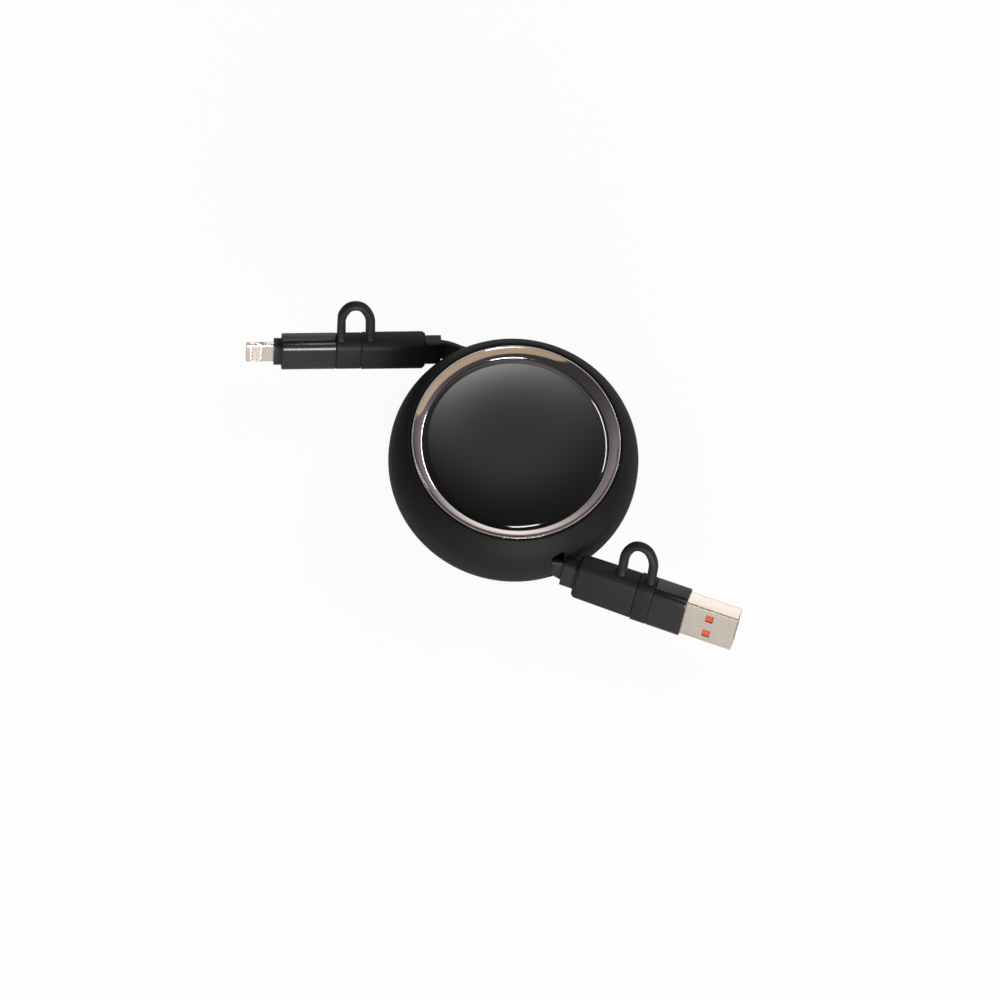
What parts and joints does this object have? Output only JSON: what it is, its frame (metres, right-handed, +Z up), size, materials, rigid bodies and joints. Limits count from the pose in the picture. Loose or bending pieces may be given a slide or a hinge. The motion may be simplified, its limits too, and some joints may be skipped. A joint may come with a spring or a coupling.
{
  "type": "charging cable with adapters",
  "caption": "Round retractable reel with a flat charging cable drawn out on opposite sides; each end is a plug in a rubber sleeve whose loop holds a push-on adapter.",
  "frame": {"origin": "centre of the flat base that the reel stands on", "axes": "+Z up along the reel's own axis, +X along the two cable ends towards the full-size plug, -Y towards the camera"},
  "size_m": [0.1354, 0.0733, 0.0308],
  "materials": {
    "housing_black": "soft matt black",
    "polished_metal": "polished dark metal",
    "gloss_black": "piano black",
    "inner_plastic": "natural moulding",
    "steel": "bright steel",
    "cable_black": "matt flat cable",
    "plug_black": "matt moulding",
    "silicone_black": "satin silicone",
    "anodised_black": "black anodised, satin",
    "nickel": "nickel plate",
    "gold_contact": "gold flash",
    "pale_insulator": "pale moulding",
    "orange_insulator": "orange moulding"
  },
  "bodies": {
    "housing": {"bottom_shell": "housing_black", "top_shell": "housing_black", "trim_ring": "polished_metal", "top_disc": "gloss_black", "axle_screw": "steel"},
    "spool": {"spool": "inner_plastic", "spool_cover": "inner_plastic", "cable_pack": "cable_black", "mainspring": "steel"},
    "pawl": {"pawl": "inner_plastic"},
    "left_plug": {"left_lead": "cable_black", "left_plug_body": "plug_black", "left_plug_shell": "nickel", "left_plug_insert": "plug_black", "left_tether": "silicone_black"},
    "right_plug": {"right_lead": "cable_black", "right_plug_body": "plug_black", "right_plug_shell": "nickel", "right_plug_insert": "plug_black", "right_tether": "silicone_black"},
    "eight_pin_adapter": {"eight_pin_tube": "anodised_black", "eight_pin_core": "plug_black", "eight_pin_tab": "nickel", "eight_pin_contact_block": "pale_insulator", "eight_pin_contacts": "gold_contact", "eight_pin_socket_liner": "nickel", "eight_pin_socket_tongue": "plug_black"},
    "type_a_adapter": {"type_a_tube": "anodised_black", "type_a_core": "plug_black", "type_a_shell": "nickel", "type_a_insert": "orange_insulator", "type_a_contacts": "gold_contact", "type_a_socket_liner": "nickel", "type_a_socket_tongue": "plug_black"}
  },
  "joints": [
    {"name": "spool_turn", "type": "hinge", "parent": "housing", "child": "spool", "pos_m": [0, 0, 0], "axis": [0, 0, 1], "range_deg": [0, 1350], "stiffness_Nm_per_rad": 0.0006, "springref_deg": -721.93, "deforming": ["mainspring"]},
    {"name": "left_cable_pull", "type": "slide", "parent": "housing", "child": "left_plug", "axis": [-0.9848, -0.1736, 0], "range_m": [0, 0.425], "deforming": ["left_lead"]},
    {"name": "right_cable_pull", "type": "slide", "parent": "housing", "child": "right_plug", "axis": [0.9806, -0.1959, 0], "range_m": [0, 0.425], "deforming": ["right_lead"]},
    {"name": "eight_pin_adapter_pull", "type": "slide", "parent": "left_plug", "child": "eight_pin_adapter", "axis": [-0.9848, -0.1736, 0], "range_m": [0, 0.008], "deforming": ["left_tether"]},
    {"name": "type_a_adapter_pull", "type": "slide", "parent": "right_plug", "child": "type_a_adapter", "axis": [0.9806, -0.1959, 0], "range_m": [0, 0.008], "deforming": ["right_tether"]},
    {"name": "pawl_swing", "type": "hinge", "parent": "housing", "child": "pawl", "pos_m": [0.0195, -0.01, 0], "axis": [0, 0, -1], "range_deg": [0, 8]}
  ],
  "couplings": [
    {"joint": "left_cable_pull", "follows": "spool_turn", "m_per_rad": 0.018},
    {"joint": "right_cable_pull", "follows": "spool_turn", "m_per_rad": 0.018}
  ]
}
